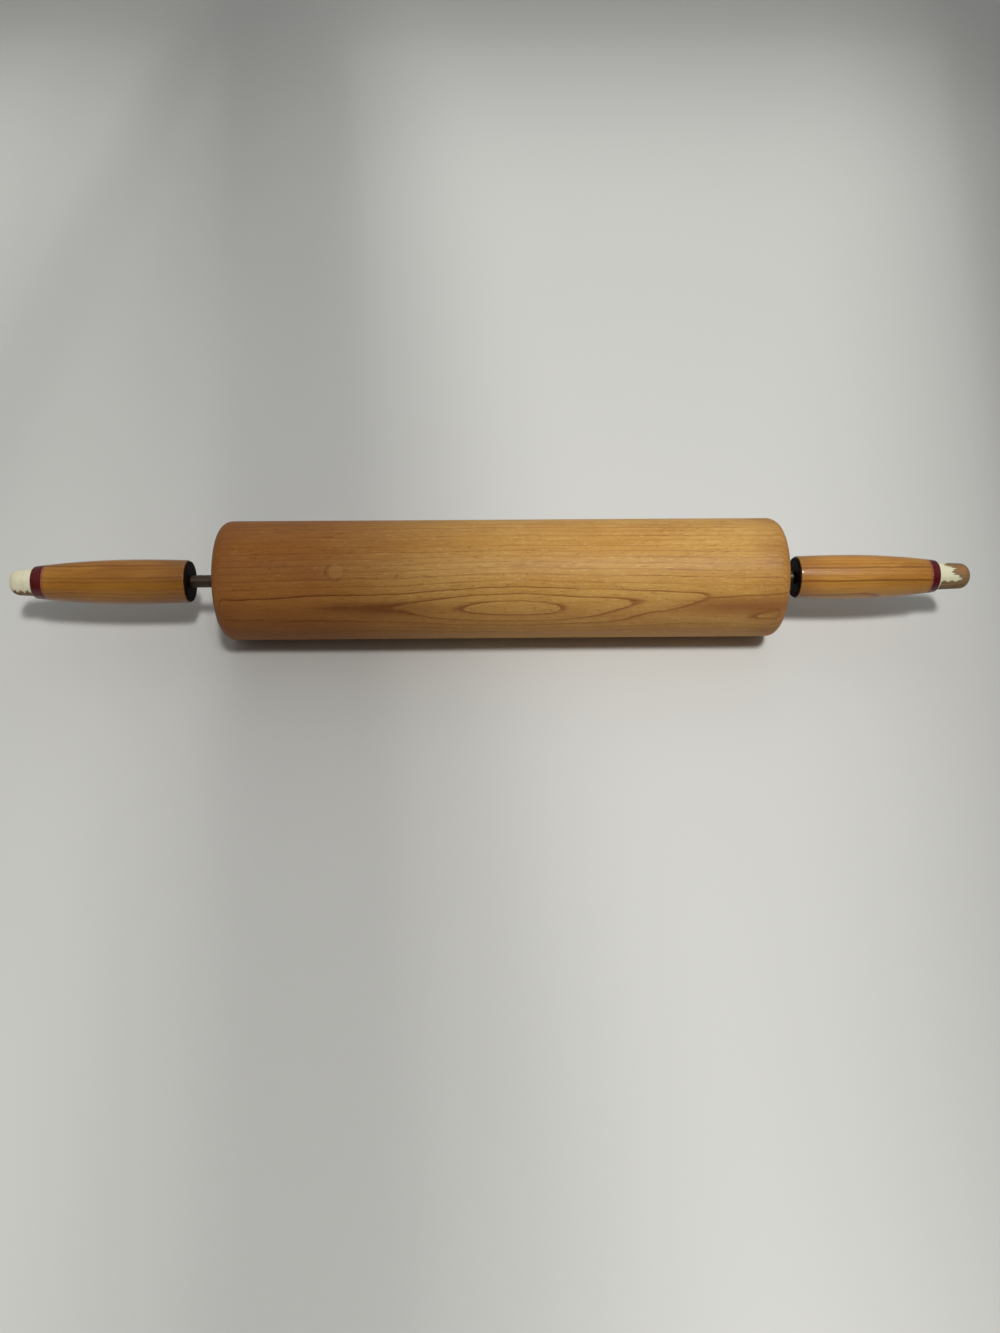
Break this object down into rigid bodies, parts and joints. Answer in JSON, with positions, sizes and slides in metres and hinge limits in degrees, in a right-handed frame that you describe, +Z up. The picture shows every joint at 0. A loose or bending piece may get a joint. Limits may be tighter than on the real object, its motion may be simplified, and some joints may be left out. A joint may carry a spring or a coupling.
{
  "type": "rolling pin",
  "caption": "Wooden rolling pin: a cylindrical barrel that turns and floats on a steel axle, with slim tapered handles that spin on the axle's ends.",
  "frame": {"origin": "middle of the barrel's length, on the barrel's axis", "axes": "+X along the axle, towards the handle with the longer end plug; +Z up when the pin lies on a table"},
  "size_m": [0.4627, 0.0572, 0.0572],
  "materials": {
    "barrel_wood": "worn satin maple",
    "handle_wood": "amber varnish with a painted maroon band",
    "cream_painted_wood": "chipped cream paint over bare wood",
    "black_fibre": "black vulcanised fibre",
    "axle_steel": "brown, lightly rusted steel",
    "plated_steel": "dull plated steel"
  },
  "bodies": {
    "barrel": {"barrel": "barrel_wood", "left_bushing": "plated_steel", "right_bushing": "plated_steel"},
    "thrust_washers": {"left_fibre_washer": "black_fibre", "right_fibre_washer": "black_fibre"},
    "axle": {"axle_rod": "axle_steel", "left_nut_washer": "plated_steel", "right_nut_washer": "plated_steel", "left_nut": "plated_steel", "right_nut": "plated_steel"},
    "left_handle": {"left_handle": "handle_wood", "left_end_plug": "cream_painted_wood"},
    "right_handle": {"right_handle": "handle_wood", "right_end_plug": "cream_painted_wood"}
  },
  "joints": [
    {"name": "axle_float", "type": "slide", "parent": "barrel", "child": "thrust_washers", "axis": [1, 0, 0], "range_m": [-0.0037, 0.0107]},
    {"name": "axle_spin", "type": "hinge", "parent": "thrust_washers", "child": "axle", "pos_m": [0, 0, 0], "axis": [1, 0, 0], "continuous": true},
    {"name": "left_handle_spin", "type": "hinge", "parent": "axle", "child": "left_handle", "pos_m": [-0.1865, 0, 0], "axis": [1, 0, 0], "continuous": true},
    {"name": "right_handle_spin", "type": "hinge", "parent": "axle", "child": "right_handle", "pos_m": [0.177, 0, 0], "axis": [1, 0, 0], "continuous": true}
  ]
}
